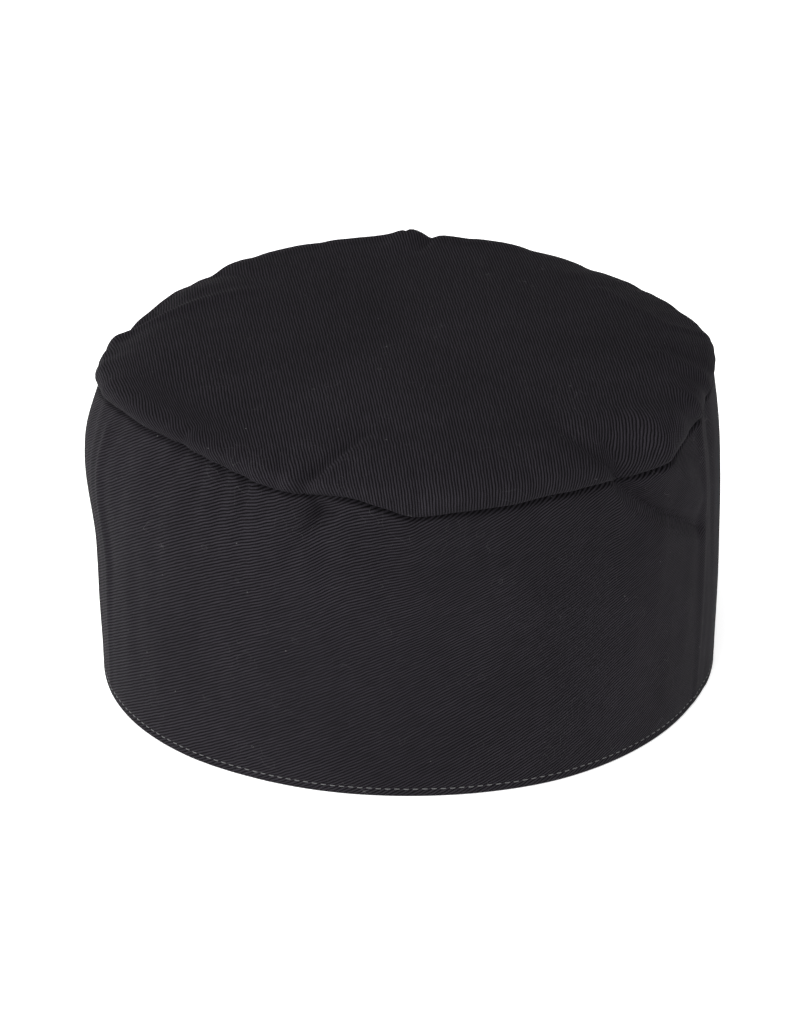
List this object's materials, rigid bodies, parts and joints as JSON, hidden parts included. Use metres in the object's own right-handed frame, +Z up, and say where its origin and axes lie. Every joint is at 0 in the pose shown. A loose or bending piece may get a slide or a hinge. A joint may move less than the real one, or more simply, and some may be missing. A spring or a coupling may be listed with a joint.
{
  "type": "chef cap",
  "caption": "Low round chef's cap: a flat soft crown on a stiffened cylindrical band, open underneath, with a hook-and-loop strap across a rear vent.",
  "frame": {"origin": "centre of the head opening, on the plane that the hem stands on", "axes": "+Z up through the crown, front of the cap towards -Y, rear closure towards +Y, +X to the right seen from the front"},
  "size_m": [0.1906, 0.1926, 0.1145],
  "materials": {
    "band_twill": "black polycotton twill, faded to charcoal, matt with a soft sheen",
    "crown_twill": "black polycotton twill, faded to charcoal, matt with a soft sheen",
    "lining_twill": "black polycotton twill, matt",
    "interlining": "white fused non-woven stiffener",
    "terry": "black cotton terry, looped pile",
    "binding_tape": "black folded bias tape",
    "strap_twill": "folded black polycotton twill",
    "hook_tape": "black nylon hook tape",
    "loop_tape": "black nylon loop tape, brushed pile",
    "label_satin": "off-white woven satin, blank",
    "topstitch_thread": "grey polyester topstitching thread",
    "sewing_thread": "black polyester sewing thread"
  },
  "bodies": {
    "cap": {"band_panel": "band_twill", "crown_panel": "crown_twill", "band_lining": "lining_twill", "band_interlining": "interlining", "sweatband": "terry", "crown_seam_binding": "binding_tape", "vent_binding": "binding_tape", "care_label": "label_satin", "hook_strap_anchor": "strap_twill", "loop_strap_anchor": "strap_twill", "hem_topstitching": "topstitch_thread", "crown_seam_stitching": "sewing_thread", "sweatband_stitching": "sewing_thread", "vent_binding_stitching": "sewing_thread", "care_label_stitching": "sewing_thread", "hook_strap_anchor_stitching": "sewing_thread", "loop_strap_anchor_stitching": "sewing_thread"},
    "hook_strap": {"hook_strap": "strap_twill", "hook_tape": "hook_tape", "hook_strap_edge_stitching": "sewing_thread", "hook_tape_stitching": "sewing_thread"},
    "loop_strap": {"loop_strap": "strap_twill", "loop_tape": "loop_tape", "loop_strap_edge_stitching": "sewing_thread", "loop_tape_stitching": "sewing_thread"}
  },
  "joints": [
    {"name": "hook_strap_fold", "type": "hinge", "parent": "cap", "child": "hook_strap", "pos_m": [-0.036, 0.09013, 0.0145], "axis": [0, 0, 1], "range_deg": [0, 150]},
    {"name": "loop_strap_fold", "type": "hinge", "parent": "cap", "child": "loop_strap", "pos_m": [0.036, 0.08401, 0.0145], "axis": [0, 0, 1], "range_deg": [0, 90]}
  ]
}
